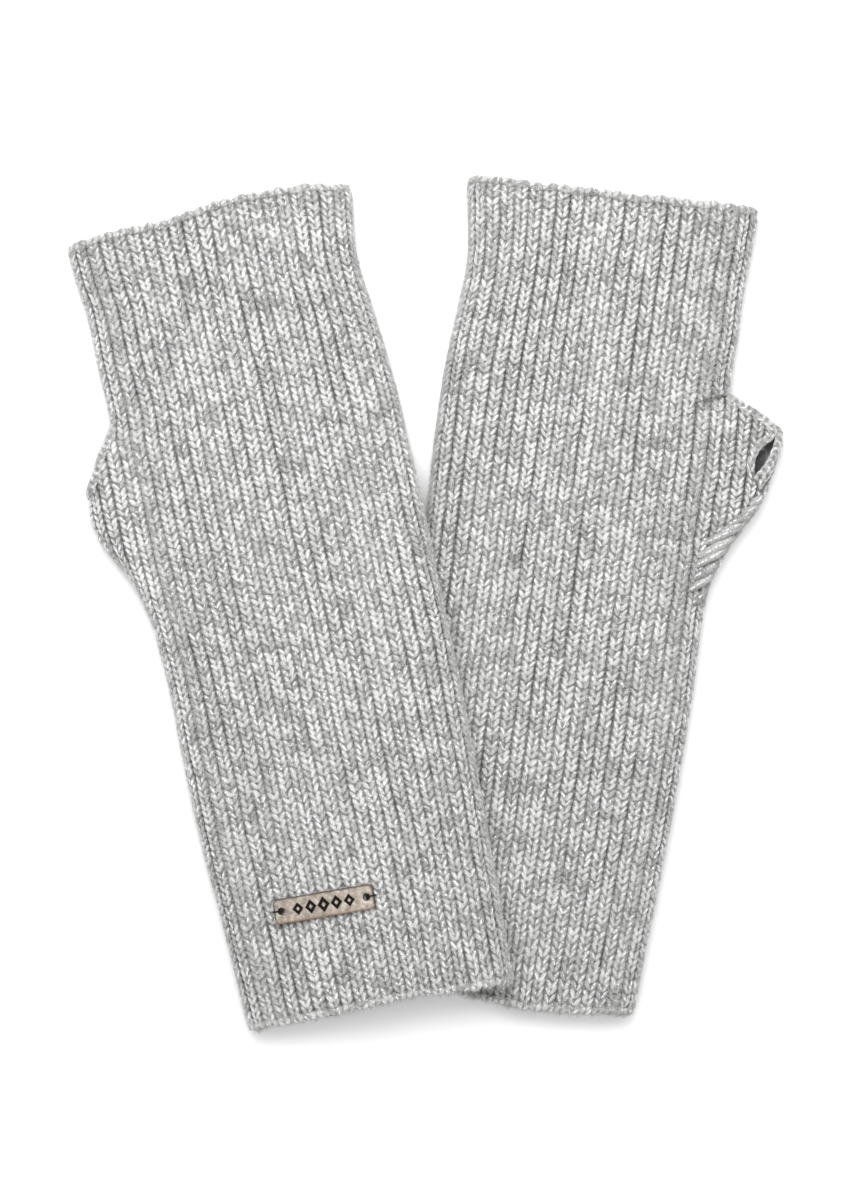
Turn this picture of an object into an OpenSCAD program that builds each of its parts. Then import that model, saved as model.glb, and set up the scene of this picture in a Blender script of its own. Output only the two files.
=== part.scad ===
// A pair of rib-knit fingerless gloves, lying palm down on a flat surface. The right-hand glove
// overlaps the left-hand one at the cuff, so it climbs over it there.
//
// Each glove is drawn in its own flat coordinates: t runs across it and is positive on the thumb's
// side, s runs along it from the cuff to the fingers, and z is height above the surface.
// place() carries a point of a glove into the pair's frame. Every knitted sheet is one closed shell.

/* [Glove] */
// Length of the left glove, from the cuff to the finger edge
left_len = 247; // [235:1:255]
// Length of the right glove, from the cuff to the finger edge
right_len = 245; // [235:1:255]
// Half of the width at the cuff
cuff_half = 39.4; // [38:0.1:41]
// Half of the width across the knuckles
palm_half = 44.5; // [43.5:0.1:46]
// Thickness of a glove lying flat
thick = 9; // [8.4:0.1:10]
// Thickness of one layer of the rib knit
wall = 1.9; // [1.6:0.1:2]

/* [Thumb] */
// How far the left glove's gusset stands out beside the hand
left_bulge = 17; // [15:0.5:18]
// How far the right glove's gusset stands out, half rolled under
right_bulge = 11.2; // [10:0.2:13]
// Start of the gusset, from the cuff
gusset_from = 127; // [125:1:129]
// Fork between thumb and hand, from the cuff
fork_at = 192.5; // [191:0.5:194]

/* [Layout] */
// Lean of the left glove to the right, in degrees
left_lean = 7.6; // [5:0.1:10]
// Lean of the right glove to the left, in degrees
right_lean = 12.5; // [11:0.1:14]

/* [Label] */
// Length of the metal label
label_len = 32; // [28:0.5:34]
// Width of the metal label
label_w = 7.6; // [6:0.2:8]
// Thickness of the metal label
label_t = 1; // [0.8:0.1:1.2]
// Distance between the label's two sewing holes
hole_pitch = 27.2; // [24:0.1:27.4]
// Diameter of a sewing hole
hole_d = 2.2; // [1.8:0.1:2.4]

/* [Hidden] */
RIGHT = 0;
LEFT = 1;

glove_len = [right_len, left_len];
mid = thick / 2;          // height of the plane in which a glove's two panels meet
fold_r = mid;             // radius of the outside of a side fold
seam_r = 1.55;            // radius of a linked seam
seam_gap = 0.15;          // room between a seam and the panels' edges
fold_end = asin((seam_r + seam_gap) / (fold_r - seam_r));  // where a panel stops above the mid-plane
edge_r = 0.95;            // radius of the cast-on and bound-off edges
edge_gap = 0.1;           // room between such an edge and the panels
panel_end = 2 * edge_r + edge_gap;

// Where each glove's cuff is centred in the pair's frame
cuff_x = [-12.7, 24.5];
cuff_y = [-121.5, -120.6];

// The thumb's fold line, and the panel and gusset edges on either side of it
hinge_t = palm_half - 0.5;
hand_edge_t = hinge_t - 0.6;
gusset_root_t = hinge_t + 3;
fold_off = [gusset_from - 5, gusset_from];   // the side fold flattens out over this stretch
fold_on = [fork_at, fork_at + 5];            // and starts again over this one
gusset_start = gusset_from + 20;             // where the gusset is wide enough to be a piece
rim_s = [fork_at - 8.5, fork_at - 2];        // the thumb rim's root, and its tip
tip_s = [171, 182];
slit_s = [157, 165];                         // where the thumb opening starts on the outer side
slit_in = [5, 2.6];                          // how far the layer under or over it is drawn back

// How the right glove climbs over the left one: it leaves the surface at climb[0], the slope is
// even from climb[1] to climb[2], and it is level again at climb[3], all measured across the left
// glove's outer side. The climb fades out along the right glove over fade.
climb = [-40, -30, -4, 8];
fade = [125, 185];
rest_gap = 0.5;
lift = thick + rest_gap;
climb_slope = lift / ((climb[1] - climb[0]) / 2 + climb[2] - climb[1] + (climb[3] - climb[2]) / 2);

label_at = [10.7, 33.5];                     // t and s of the label's centre
label_turn = -2.3;                           // turn of the label from square across the glove
label_clear = 0.25;
label_corner = 1.8;
tie_r = 0.7;
wool = [0.72, 0.72, 0.71];
nickel = [0.62, 0.58, 0.54];

// ---- small functions ----

function clamp01(u) = max(0, min(1, u));
function ease(a, b, u) = let (k = clamp01((u - a) / (b - a))) k * k * (3 - 2 * k);
function mix(a, b, k) = a + (b - a) * k;
function spread(from, to, n) = [for (i = [0:n]) mix(from, to, i / n)];

// Half of the hand's width at s: narrow at the cuff, wide at the palm, flared at the fingers
function half_width(g, s) =
    cuff_half + (palm_half - cuff_half) * ease(-30, 105, s) * 0.93
    + (palm_half - cuff_half) * 0.07 * ease(60, 150, s)
    - 2.3 * ease(172, 216, s)
    + 3.2 * ease(216, glove_len[g] + 6, s);

// How far the gusset stands out of the hand at s, up to its tip
function bulge(g, s) = let (
    reach = g == LEFT ? left_bulge : right_bulge,
    u = clamp01((s - gusset_from) / (tip_s[g] - gusset_from))
) reach * (g == LEFT ? mix(u, ease(0, 1, u), 0.55) : mix(u, ease(0, 1, u), 0.8));

// Right glove: how far a point of the pair's frame is inside the left glove's outer side
function over_left(x, y) = let (
    dx = x - cuff_x[LEFT],
    dy = y - cuff_y[LEFT],
    t = dx * cos(left_lean) - dy * sin(left_lean),
    s = dx * sin(left_lean) + dy * cos(left_lean)
) t + half_width(LEFT, max(0, min(glove_len[LEFT], s)));

function climb_at(d) =
    d <= climb[0] ? 0 :
    d <= climb[1] ? climb_slope * pow(d - climb[0], 2) / (2 * (climb[1] - climb[0])) :
    d <= climb[2] ? climb_slope * (d - (climb[0] + climb[1]) / 2) :
    d <= climb[3] ? lift - climb_slope * pow(climb[3] - d, 2) / (2 * (climb[3] - climb[2])) :
    lift;

// A point (t, s, z) of glove g in the pair's frame
function flat_place(g, t, s) = let (
    a = g == LEFT ? -left_lean : right_lean,
    x = g == LEFT ? t : -t
) [cuff_x[g] + x * cos(a) - s * sin(a), cuff_y[g] + x * sin(a) + s * cos(a)];

function place(g, p) = let (
    q = flat_place(g, p[0], p[1]),
    up = g == LEFT ? 0 : climb_at(over_left(q[0], q[1])) * (1 - ease(fade[0], fade[1], p[1]))
) [q[0], q[1], p[2] + up];

// ---- solids from points ----

function quad(a, b, c, d, flip) = flip ? [[a, c, b], [a, d, c]] : [[a, b, c], [a, c, d]];

// A closed sheet: rows of points of its outer face, then the same of its inner face
module sheet(g, outer, inner, flip = false) {
    rows = len(outer);
    cols = len(outer[0]);
    n = rows * cols;
    turned = (g == RIGHT) != flip;
    points = [for (face = [outer, inner]) for (row = face) for (p = row) place(g, p)];
    function at(r, c) = r * cols + c;
    faces = [
        for (r = [0:rows - 2]) for (c = [0:cols - 2]) each concat(
            quad(at(r, c), at(r + 1, c), at(r + 1, c + 1), at(r, c + 1), turned),
            quad(n + at(r, c), n + at(r, c + 1), n + at(r + 1, c + 1), n + at(r + 1, c), turned)
        ),
        for (r = [0:rows - 2]) each concat(
            quad(at(r, 0), n + at(r, 0), n + at(r + 1, 0), at(r + 1, 0), turned),
            quad(at(r, cols - 1), at(r + 1, cols - 1), n + at(r + 1, cols - 1),
                 n + at(r, cols - 1), turned)
        ),
        for (c = [0:cols - 2]) each concat(
            quad(at(0, c), at(0, c + 1), n + at(0, c + 1), n + at(0, c), turned),
            quad(at(rows - 1, c), n + at(rows - 1, c), n + at(rows - 1, c + 1),
                 at(rows - 1, c + 1), turned)
        ),
    ];
    polyhedron(points, faces);
}

// A round cord along a path that lies roughly along one direction; up is a direction that the
// path never takes. A closed path joins its end to its start.
module cord(path, r, up, closed = false, sides = 8) {
    n = len(path);
    function along(i) = let (
        a = closed ? path[(i + n - 1) % n] : path[max(0, i - 1)],
        b = closed ? path[(i + 1) % n] : path[min(n - 1, i + 1)]
    ) (b - a) / norm(b - a);
    function across(i) = let (c = cross(along(i), up)) c / norm(c);
    points = [
        for (i = [0:n - 1]) let (a = across(i), b = cross(along(i), a))
            for (k = [0:sides - 1]) path[i] + r * (a * cos(360 * k / sides) + b * sin(360 * k / sides))
    ];
    function at(i, k) = (i % n) * sides + k % sides;
    faces = [
        for (i = [0:closed ? n - 1 : n - 2]) for (k = [0:sides - 1])
            each quad(at(i, k), at(i, k + 1), at(i + 1, k + 1), at(i + 1, k), true),
        if (!closed) each [for (k = [1:sides - 2]) [at(0, 0), at(0, k), at(0, k + 1)]],
        if (!closed) each [for (k = [1:sides - 2]) [at(n - 1, 0), at(n - 1, k + 1), at(n - 1, k)]],
    ];
    polyhedron(points, faces);
}

// ---- the hand ----

// 1 where the hand's thumb side folds round, 0 where it runs flat into the gusset
function folded(s) = 1 - ease(fold_off[0], fold_off[1], s) + ease(fold_on[0], fold_on[1], s);

// Points (t, z above the mid-plane) across a hand panel at s, from the outer side to the thumb's
fold_steps = 4;
flat_steps = 10;
function panel_section(g, s, r) = let (
    core = half_width(g, s) - fold_r,
    f = folded(s),
    flat_to = mix(hand_edge_t - 4, core, f)
) concat(
    [for (k = [0:fold_steps]) let (a = mix(fold_end, 90, k / fold_steps)) [-core - r * cos(a), r * sin(a)]],
    [for (k = [1:flat_steps - 1]) [mix(-core, flat_to, k / flat_steps), r]],
    [for (k = [0:fold_steps]) let (a = mix(90, fold_end, k / fold_steps))
        [mix(hand_edge_t - 4 + 4 * k / fold_steps, core + r * cos(a), f), mix(r, r * sin(a), f)]]
);

function panel_stations(g) = concat(
    spread(panel_end, fold_off[0], 14),
    spread(fold_off[0] + 1.7, fold_off[1], 2),
    spread(fold_off[1] + 7, fold_on[0], 8),
    spread(fold_on[0] + 1.7, fold_on[1], 2),
    spread(fold_on[1] + 6, glove_len[g] - panel_end, 5)
);

module hand_panel(g, up) {
    function face(r) = [for (s = panel_stations(g))
        [for (p = panel_section(g, s, r)) [p[0], s, mid + up * p[1]]]];
    color(wool) sheet(g, face(fold_r), face(fold_r - wall), flip = up > 0);
}

// A linked seam that closes the fold between the two panels; side is 1 for the thumb's side
module side_seam(g, side, from, to, steps) {
    path = [for (s = spread(from, to, steps)) place(g, [side * (half_width(g, s) - seam_r), s, mid])];
    color(wool) cord(path, seam_r, [0, 0, 1]);
}

// The rolled edge round the cuff or the fingers: a flat loop at s
edge_arc = 6;
edge_flat = 14;
module open_edge(g, s) {
    r = fold_r - edge_r - 0.05;
    core = half_width(g, s) - fold_r;
    loop = concat(
        [for (k = [0:edge_arc]) let (a = mix(-90, 90, k / edge_arc)) [core + r * cos(a), r * sin(a)]],
        [for (k = [1:edge_flat - 1]) [mix(core, -core, k / edge_flat), r]],
        [for (k = [0:edge_arc]) let (a = mix(90, 270, k / edge_arc)) [-core + r * cos(a), r * sin(a)]],
        [for (k = [1:edge_flat - 1]) [mix(-core, core, k / edge_flat), -r]]
    );
    a = g == LEFT ? -left_lean : right_lean;
    color(wool) cord([for (p = loop) place(g, [p[0], s, mid + p[1]])], edge_r, [-sin(a), cos(a), 0], true);
}

// ---- the thumb gusset ----

gusset_rows = 16;
gusset_cols = 7;

// s of the gusset's root and of its outer side at the share v of the way up
function root_s(g, v) = mix(gusset_start, rim_s[g], v);
function outer_s(g, v) = mix(gusset_start, tip_s[g], v);
function outer_t(g, s) = half_width(g, s) + bulge(g, s);

// The layer that the thumb opening shows on is drawn back from the outer side: the back of the
// left glove, and the palm of the right one.
function drawn_back(g, up, s) =
    (g == LEFT) == (up > 0) ? slit_in[g] * ease(slit_s[g], slit_s[g] + 5, s) : 0;
function opened(g, s) = ease(slit_s[g] - 3, slit_s[g] + 3, s);
function layer_edge(g, up, s) = outer_t(g, s) - 2 * edge_r * opened(g, s) - drawn_back(g, up, s);

// Row v of one layer at radius r from the mid-plane. The outer side folds round up to the thumb
// opening and runs out flat beside it.
function gusset_row(g, up, v, r) = let (
    so = outer_s(g, v),
    open = opened(g, so),
    edge = layer_edge(g, up, so),
    core = outer_t(g, so) - fold_r,
    root = gusset_root_t
) [for (k = [0:gusset_cols]) let (
    u = k / gusset_cols,
    a = mix(acos(clamp01((root - core) / fold_r)), fold_end, u),
    narrow = clamp01((core - root) / 1.5),
    a_wide = mix(90, fold_end, clamp01((u - 0.4) / 0.6)),
    round_t = narrow > 0
        ? (u < 0.4 ? mix(root, core, u / 0.4) : core + r * cos(a_wide))
        : core + r * cos(a),
    round_z = narrow > 0 ? (u < 0.4 ? r : r * sin(a_wide)) : r * sin(a),
    flat_t = mix(root, edge, u)
) [mix(round_t, flat_t, open), mix(root_s(g, v), so, u), mid + up * mix(round_z, r, open)]];

module gusset(g, up) {
    function face(r) = [for (i = [0:gusset_rows]) gusset_row(g, up, i / gusset_rows, r)];
    color(wool) sheet(g, face(fold_r), face(fold_r - wall), flip = up > 0);
}

// The seam up the gusset's slanting side, from the hand to the thumb opening
module gusset_seam(g) {
    path = [for (s = spread(gusset_start, slit_s[g] - 4, 10))
        place(g, [outer_t(g, s) - seam_r - 0.1, s, mid])];
    color(wool) cord(path, seam_r, [0, 0, 1]);
}

// The bound-off edge round the thumb opening: along one layer, round the end and back along the
// other
module thumb_edge(g) {
    r = fold_r - edge_r - 0.05;
    off = edge_r + edge_gap;
    steps = 7;
    stop = slit_s[g] + 3.4;
    root = [gusset_root_t, rim_s[g]];
    function rim(up) = let (
        tip = [layer_edge(g, up, tip_s[g]), tip_s[g]],
        d = (tip - root) / norm(tip - root),
        out = off * [-d[1], d[0]]
    ) concat(
        [for (k = [0:steps]) let (p = mix(root, tip, k / steps) + out) [p[0], p[1], mid + up * r]],
        [for (s = spread(tip_s[g] - 0.5, stop, steps)) let (
            slope = layer_edge(g, up, s + 0.5) - layer_edge(g, up, s - 0.5)
        ) [layer_edge(g, up, s) + off * norm([1, slope]), s, mid + up * r]]
    );
    over = rim(1);
    under = rim(-1);
    end = [outer_t(g, stop - 1.6) + 0.3, stop - 1.6, mid];
    start = [over[0][0], over[0][1] + 0.5, mid];
    loop = concat(over, [end], [for (i = [len(under) - 1:-1:0]) under[i]], [start]);
    color(wool) cord([for (p = loop) place(g, p)], edge_r, [0.1, 0.2, 1], true);
}

// ---- the label ----

// The label lies on the even slope of the right glove
module on_label() {
    q = flat_place(RIGHT, label_at[0], label_at[1]);
    n = [cos(left_lean), -sin(left_lean), 0];
    z = thick + climb_at(over_left(q[0], q[1])) + label_clear;
    translate([q[0], q[1], z])
        rotate(a = atan(climb_slope), v = [n[1], -n[0], 0])
            rotate([0, 0, right_lean + label_turn])
                children();
}

module label_plate() {
    color(nickel) on_label() difference() {
        linear_extrude(height = label_t) difference() {
            union() {
                square([label_len - 2 * label_corner, label_w], center = true);
                square([label_len, label_w - 2 * label_corner], center = true);
                for (x = [-1, 1], y = [-1, 1])
                    translate([x * (label_len / 2 - label_corner), y * (label_w / 2 - label_corner)])
                        circle(r = label_corner, $fn = 32);
            }
            for (x = [-1, 1])
                translate([x * hole_pitch / 2, 0]) circle(d = hole_d, $fn = 32);
        }
        for (k = [-2:2])
            translate([k * 4, 0, label_t - 0.25])
                linear_extrude(height = 1) lozenge(1.5 - 0.2 * abs(k), 1.9 - 0.4 * abs(k));
    }
}

module lozenge(half_w, half_h) {
    polygon([[-half_w, 0], [0, -half_h], [half_w, 0], [0, half_h]]);
}

// Thread down through one sewing hole
module label_tie(side) {
    color(wool) on_label() translate([side * hole_pitch / 2, 0, 0])
        cylinder(r = tie_r, h = label_t - 0.2, $fn = 24);
}

// ---- the pair ----

module glove_piece(g, piece) {
    if (piece == "back_panel") hand_panel(g, 1);
    if (piece == "palm_panel") hand_panel(g, -1);
    if (piece == "outer_seam") side_seam(g, -1, panel_end, glove_len[g] - panel_end, 26);
    if (piece == "wrist_seam") side_seam(g, 1, panel_end, fold_off[0] - 0.5, 14);
    if (piece == "finger_seam") side_seam(g, 1, fold_on[1] + 0.5, glove_len[g] - panel_end, 8);
    if (piece == "cuff_edge") open_edge(g, edge_r);
    if (piece == "finger_edge") open_edge(g, glove_len[g] - edge_r);
    if (piece == "gusset_back") gusset(g, 1);
    if (piece == "gusset_palm") gusset(g, -1);
    if (piece == "gusset_seam") gusset_seam(g);
    if (piece == "thumb_edge") thumb_edge(g);
}

PIECES = [
    "back_panel", "palm_panel", "outer_seam", "wrist_seam", "finger_seam", "cuff_edge",
    "finger_edge", "gusset_back", "gusset_palm", "gusset_seam", "thumb_edge",
];
for (piece = PIECES) {
    glove_piece(LEFT, piece);
    glove_piece(RIGHT, piece);
}
label_plate();
label_tie(-1);  // label_tie_inner
label_tie(1);  // label_tie_outer
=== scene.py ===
import math

import bpy
import mathutils
import numpy as np
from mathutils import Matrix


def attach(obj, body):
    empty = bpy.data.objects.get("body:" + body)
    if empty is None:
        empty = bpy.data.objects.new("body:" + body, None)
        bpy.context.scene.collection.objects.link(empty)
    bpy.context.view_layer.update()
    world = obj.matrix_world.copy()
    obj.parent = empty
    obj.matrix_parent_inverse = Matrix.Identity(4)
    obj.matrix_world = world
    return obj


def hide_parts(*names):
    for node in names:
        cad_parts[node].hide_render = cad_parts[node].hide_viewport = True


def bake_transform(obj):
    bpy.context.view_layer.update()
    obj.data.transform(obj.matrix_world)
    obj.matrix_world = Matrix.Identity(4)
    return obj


# The looks of a pair of rib-knit fingerless gloves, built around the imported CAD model.
#
# Lengths are millimetres until a mesh is made. A glove has its own flat coordinates: t across it,
# positive on the thumb's side, s along it from the cuff to the fingers, z up. place() carries them
# into the frame. On the knit itself, u counts stitch columns across from the glove's middle and v
# counts rows from the cuff, so every stitch of a glove follows from u and v alone.

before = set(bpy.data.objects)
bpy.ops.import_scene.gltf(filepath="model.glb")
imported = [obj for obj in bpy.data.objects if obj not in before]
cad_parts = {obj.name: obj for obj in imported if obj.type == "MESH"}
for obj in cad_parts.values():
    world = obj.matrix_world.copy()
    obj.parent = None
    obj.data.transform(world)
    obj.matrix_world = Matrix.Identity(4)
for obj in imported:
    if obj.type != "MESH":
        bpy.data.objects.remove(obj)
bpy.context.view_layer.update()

MM = 0.001
RIGHT, LEFT = 0, 1
SIDES = ("right", "left")
BACK, PALM = 1, -1
LAYERS = {BACK: "back", PALM: "palm"}

# ---- sizes shared with the CAD model ----
# Where a pair of values is for each glove, the right-hand glove's comes first
GLOVE_LEN = (245.0, 247.0)     # each glove's length
CUFF_HALF = 39.4               # half of the width at the cuff
PALM_HALF = 44.5               # and across the palm
THICK = 9.0                    # a glove lying flat
WALL = 1.9                     # one layer of knit
MID = THICK / 2
FOLD_R = MID                   # the layers meet in a half circle at each side
LEAN = (12.5, -7.6)            # degrees that each glove leans in the frame
CUFF_AT = ((-12.7, -121.5), (24.5, -120.6))    # the middle of each glove's cuff, (x, y)
# The right-hand glove climbs over the other: distances past the other's side where the climb
# begins, runs even, slows down and ends
CLIMB = (-40.0, -30.0, -4.0, 8.0)
CLIMB_FADE = (125.0, 185.0)    # s between which the climb dies away
LIFT = THICK + 0.5             # the climb's height
CLIMB_SLOPE = LIFT / ((CLIMB[1] - CLIMB[0]) / 2 + CLIMB[2] - CLIMB[1] + (CLIMB[3] - CLIMB[2]) / 2)
LABEL_AT = (10.7, 33.5)        # the label's middle, (t, s)
LABEL_TURN = LEAN[RIGHT] - 2.3    # it is sewn on a little askew
LABEL_SIZE = (32.0, 7.6, 1.0)
LABEL_CLEAR = 0.25             # between the label and the glove
LABEL_CORNER = 1.8             # radius of its corners
HOLE_PITCH = 27.2              # from one sewing hole to the other
HOLE_R = 1.1
THREAD_R = 0.24

# How far the finger edge bows out along the glove: points (t, bow)
FINGER_BOW = (
    ((-45, 1.4), (-32, 3.7), (-13, 4.5), (0, 3.9), (15, 2.2), (30, 2.3), (45, 1.3)),
    ((-45, 1.0), (-20, 1.4), (0, 1.5), (25, 2.2), (45, 2.4)),
)

# How far the cuff's edge bows out, in the same way
CUFF_BOW = (
    ((-45, 2.2), (-36, 2.0), (-24, 0.8), (-12, 0.1), (20, 0.2), (45, 0.4)),
    ((-45, 0.2), (-18, 0.2), (-6, 1.6), (12, 2.5), (24, 1.6), (36, 0.5), (45, 0.1)),
)

# How far each side lies beside its even line, on the outer side and on the thumb's: points (s, out)
SIDE_OUT = (
    (
        ((180, 0.3), (205, 0.5), (228, -1.2), (245, -0.6)),
        ((0, 2.4), (25, 1.6), (60, 1.2), (85, 0.2), (108, -0.7), (128, -0.2),
         (160, 0), (180, 0), (192, -0.4), (206, 0.8), (230, 0.4), (245, -0.4)),
    ),
    (
        ((165, -0.8), (200, 0), (228, -1.5), (247, 0)),
        ((0, 0), (40, 0.3), (90, 0.6), (150, 0.2), (180, 0.2),
         (195, 0.3), (212, 1.7), (230, 1.2), (247, 0.5)),
    ),
)

# ---- the thumb ----
# How far each thumb stands out beside the hand: points (s, reach)
THUMB_OUTLINE = (
    ((122, 0), (132, 0.3), (140, 2.1), (152.9, 8.0), (161, 11.3), (168, 11.0), (176, 7.4), (188.8, 0)),
    ((122, 0), (132, 0.5), (145, 4.9), (158, 11.5), (168, 14.9), (176, 16.7), (182, 16.7), (191.5, 0)),
)
FORK_S = (188.8, 191.5)        # where each thumb leaves the hand
FORK_CREASE = (0.0, 2.2)       # depth of each crease that runs in from the fork, across the back
TIP_S = (170.0, 182.0)         # where each thumb stands out most
SLIT_SCALE = (0.76, 1.0)       # stretches the points below along each thumb
# Beside the thumb opening one layer draws back from the side fold and the other wraps round it:
# points (s from the thumb's tip, distance)
EDGE_BACK = (
    (-22, 0), (-18, 4.0), (-15, 7.8), (-12.3, 9.4), (-6.6, 10.0), (-3, 8.2), (0, 5.4), (3, 4.0),
)
EDGE_OVER = (
    (-22, 0), (-18, 4.7), (-14.5, 7.6), (-12.3, 6.7), (-9.5, 5.2), (-6.6, 4.2), (-1.2, 2.8), (2.5, 0),
)
SLIT_LAYER = (PALM, BACK)      # the layer that draws back beside each thumb opening
SEAM_GAP = 0.6                 # from a layer's edge to the middle of its side fold
FOLD_BACK = 2.5                # length over which the side fold opens out flat above the fork
GUSSET_S = 124.0               # where the gusset's own pieces start
BEND = (39.0, 49.0)            # t between which the knit bends as the thumb folds
BEND_S = 160.0                 # s at which the bend's two ends are given

# How far in the linking reaches over the gusset's slanting edge: points (s, distance)
SEAM_IN = ((124, 3.0), (133, 4.9), (145, 7.1), (152, 4.4), (159.5, 1.2))
SEAM_REACH = (0.6, 1.0)        # how much of that each glove's linking reaches over

# ---- the knit ----
HALF_WALES = 11                # stitch columns from a layer's middle to its side
SPLIT_WALE = 9                 # the hand's main piece ends in this groove on the thumb's side
COURSE_LEN = (2.2, 2.0)        # length of a row at the cuff and at the fingers
STITCH_SIZE = (4.25, 2.1)      # a usual stitch: width of its column, length of its row
LEG_SIZE = (1.8, 0.86)         # half length and half width of one of its two legs
LEG_LEAN = 29.0                # degrees that a leg leans out from its column
LEG_HEIGHT = 1.15              # from the bottom of a groove to the top of a leg
LEG_TILT = 0.13                # each leg's upper end dips behind the stitch above it
KNIT_DETAIL = {BACK: (14, 7), PALM: (8, 4)}    # points to a stitch, across and along
LINING_STEP = 4                # the inside has one row of points to this many of the outside's
FIBRE_R = 0.05                 # loose fibres
FIBRES_PER_MM2 = {PALM: 0.4, BACK: 1.5}
RIM_R = 1.15                   # the cast-on and bound-off edges
RIM_DETAIL = 12                # points along such an edge to each stitch column
RING = 17                      # points round it, the last on the first
RIM_FIBRES = 2400              # loose fibres on each
THUMB_RIM_R = 1.3
CORD_STEP = 0.32               # between points along a cord
CUFF_DROP = 0.7                # the lower layer's cuff shows beyond the upper one's
# The wool is the same all over: painted shade makes the seam and edge yarn a little darker than the knit
WOOL_LIGHT = {"rib_knit": 0.92, "seam_yarn": 0.89, "edge_yarn": 0.89}    # how light each slot is

# ---- the label's engraving and the room ----
LOZENGE_PITCH = 4.1
ENGRAVED = 0.24                # its depth
ENGRAVED_HALF = (10.6, 2.6)    # half of the plain box that holds it, along and across the label
FLOOR_Z = -0.4


def ease(a, b, u):
    """From 0 at a to 1 at b, smooth and level at both."""
    k = np.clip((np.asarray(u, float) - a) / (b - a), 0, 1)
    return k * k * (3 - 2 * k)


def mix(a, b, k):
    return a + (b - a) * k


def hashed(a, b, seed):
    """A fixed random number from 0 to 1 for each pair of whole numbers."""
    x = np.sin(a * 127.1 + b * 311.7 + seed * 74.7) * 43758.5453
    return x - np.floor(x)


def noise(x, y, seed):
    """Smooth noise from -1 to 1 with features about one unit across."""
    i, j = np.floor(x), np.floor(y)
    fx, fy = x - i, y - j
    fx, fy = fx * fx * (3 - 2 * fx), fy * fy * (3 - 2 * fy)
    low = mix(hashed(i, j, seed), hashed(i + 1, j, seed), fx)
    high = mix(hashed(i, j + 1, seed), hashed(i + 1, j + 1, seed), fx)
    return 2 * mix(low, high, fy) - 1


def waver(x, length, seed):
    """Smooth noise from -1 to 1 along a line, with features of about that length."""
    return noise(x / length, 0.5 + 0 * x, seed)


def through(points, x):
    """A smooth curve through a few points, level at both ends."""
    px, py = (np.array(c, float) for c in zip(*points))
    slope = np.gradient(py, px)
    slope[0] = 0
    i = np.clip(np.searchsorted(px, x) - 1, 0, len(px) - 2)
    w = px[i + 1] - px[i]
    k = np.clip((x - px[i]) / w, 0, 1)
    return (
        (2 * k**3 - 3 * k**2 + 1) * py[i] + (k**3 - 2 * k**2 + k) * w * slope[i]
        + (3 * k**2 - 2 * k**3) * py[i + 1] + (k**3 - k**2) * w * slope[i + 1]
    )


# ---- the glove's shape ----

def half_width(g, s):
    """Half of the hand's width: it widens to the palm, draws in at the knuckles and flares out."""
    grow = PALM_HALF - CUFF_HALF
    return (
        CUFF_HALF + 0.93 * grow * ease(-30, 105, s) + 0.07 * grow * ease(60, 150, s)
        - 2.3 * ease(172, 216, s) + 3.2 * ease(216, GLOVE_LEN[g] + 6, s)
    )


def thumb_width(g, s):
    """Half of the glove's width on the thumb's side, with the gusset."""
    return half_width(g, s) + np.clip(through(THUMB_OUTLINE[g], s), 0, None)


def opened(g, s):
    """1 where the thumb side is cut open above the thumb's tip, 0 where the layers fold round."""
    return ease(TIP_S[g] - 1, TIP_S[g] + 4, s) * (1 - ease(FORK_S[g], FORK_S[g] + FOLD_BACK, s))


def slit_edge(g, up, s):
    """How far one layer's edge moves round the side fold beside the thumb opening."""
    at = (s - TIP_S[g]) / SLIT_SCALE[g]
    moved = -through(EDGE_BACK, at) if SLIT_LAYER[g] == up else through(EDGE_OVER, at)
    return moved * (1 - ease(TIP_S[g] + 5, TIP_S[g] + 8, s))


def slit_start(g):
    """Where the thumb opening begins on its layer."""
    return TIP_S[g] - 15.5 * SLIT_SCALE[g]


def hand_arc(g, s):
    """Length across a layer from the glove's middle to the end of its side fold."""
    return half_width(g, s) + FOLD_R * (math.pi / 2 - 1)


def thumb_arc(g, up, s):
    """The same on the thumb's side, or to the rim where the edge is open."""
    folded = thumb_width(g, s) + FOLD_R * (math.pi / 2 - 1) + slit_edge(g, up, s)
    free = thumb_width(g, s) - 1.2 * THUMB_RIM_R
    return mix(folded, free, opened(g, s))


def over_left(x, y):
    """How far a point lies over the left-hand glove, measured from that glove's outer side."""
    a = math.radians(LEAN[LEFT])
    dx, dy = x - CUFF_AT[LEFT][0], y - CUFF_AT[LEFT][1]
    t = dx * math.cos(a) + dy * math.sin(a)
    s = -dx * math.sin(a) + dy * math.cos(a)
    return t + half_width(LEFT, np.clip(s, 0, GLOVE_LEN[LEFT]))


def climb_at(d):
    """The climb's height: an even slope, rounded where it begins and ends."""
    d = np.clip(d, CLIMB[0], CLIMB[3])
    start = CLIMB_SLOPE * (d - CLIMB[0]) ** 2 / (2 * (CLIMB[1] - CLIMB[0]))
    even = CLIMB_SLOPE * (d - (CLIMB[0] + CLIMB[1]) / 2)
    stop = LIFT - CLIMB_SLOPE * (CLIMB[3] - d) ** 2 / (2 * (CLIMB[3] - CLIMB[2]))
    return np.where(d <= CLIMB[1], start, np.where(d <= CLIMB[2], even, stop))


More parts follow.
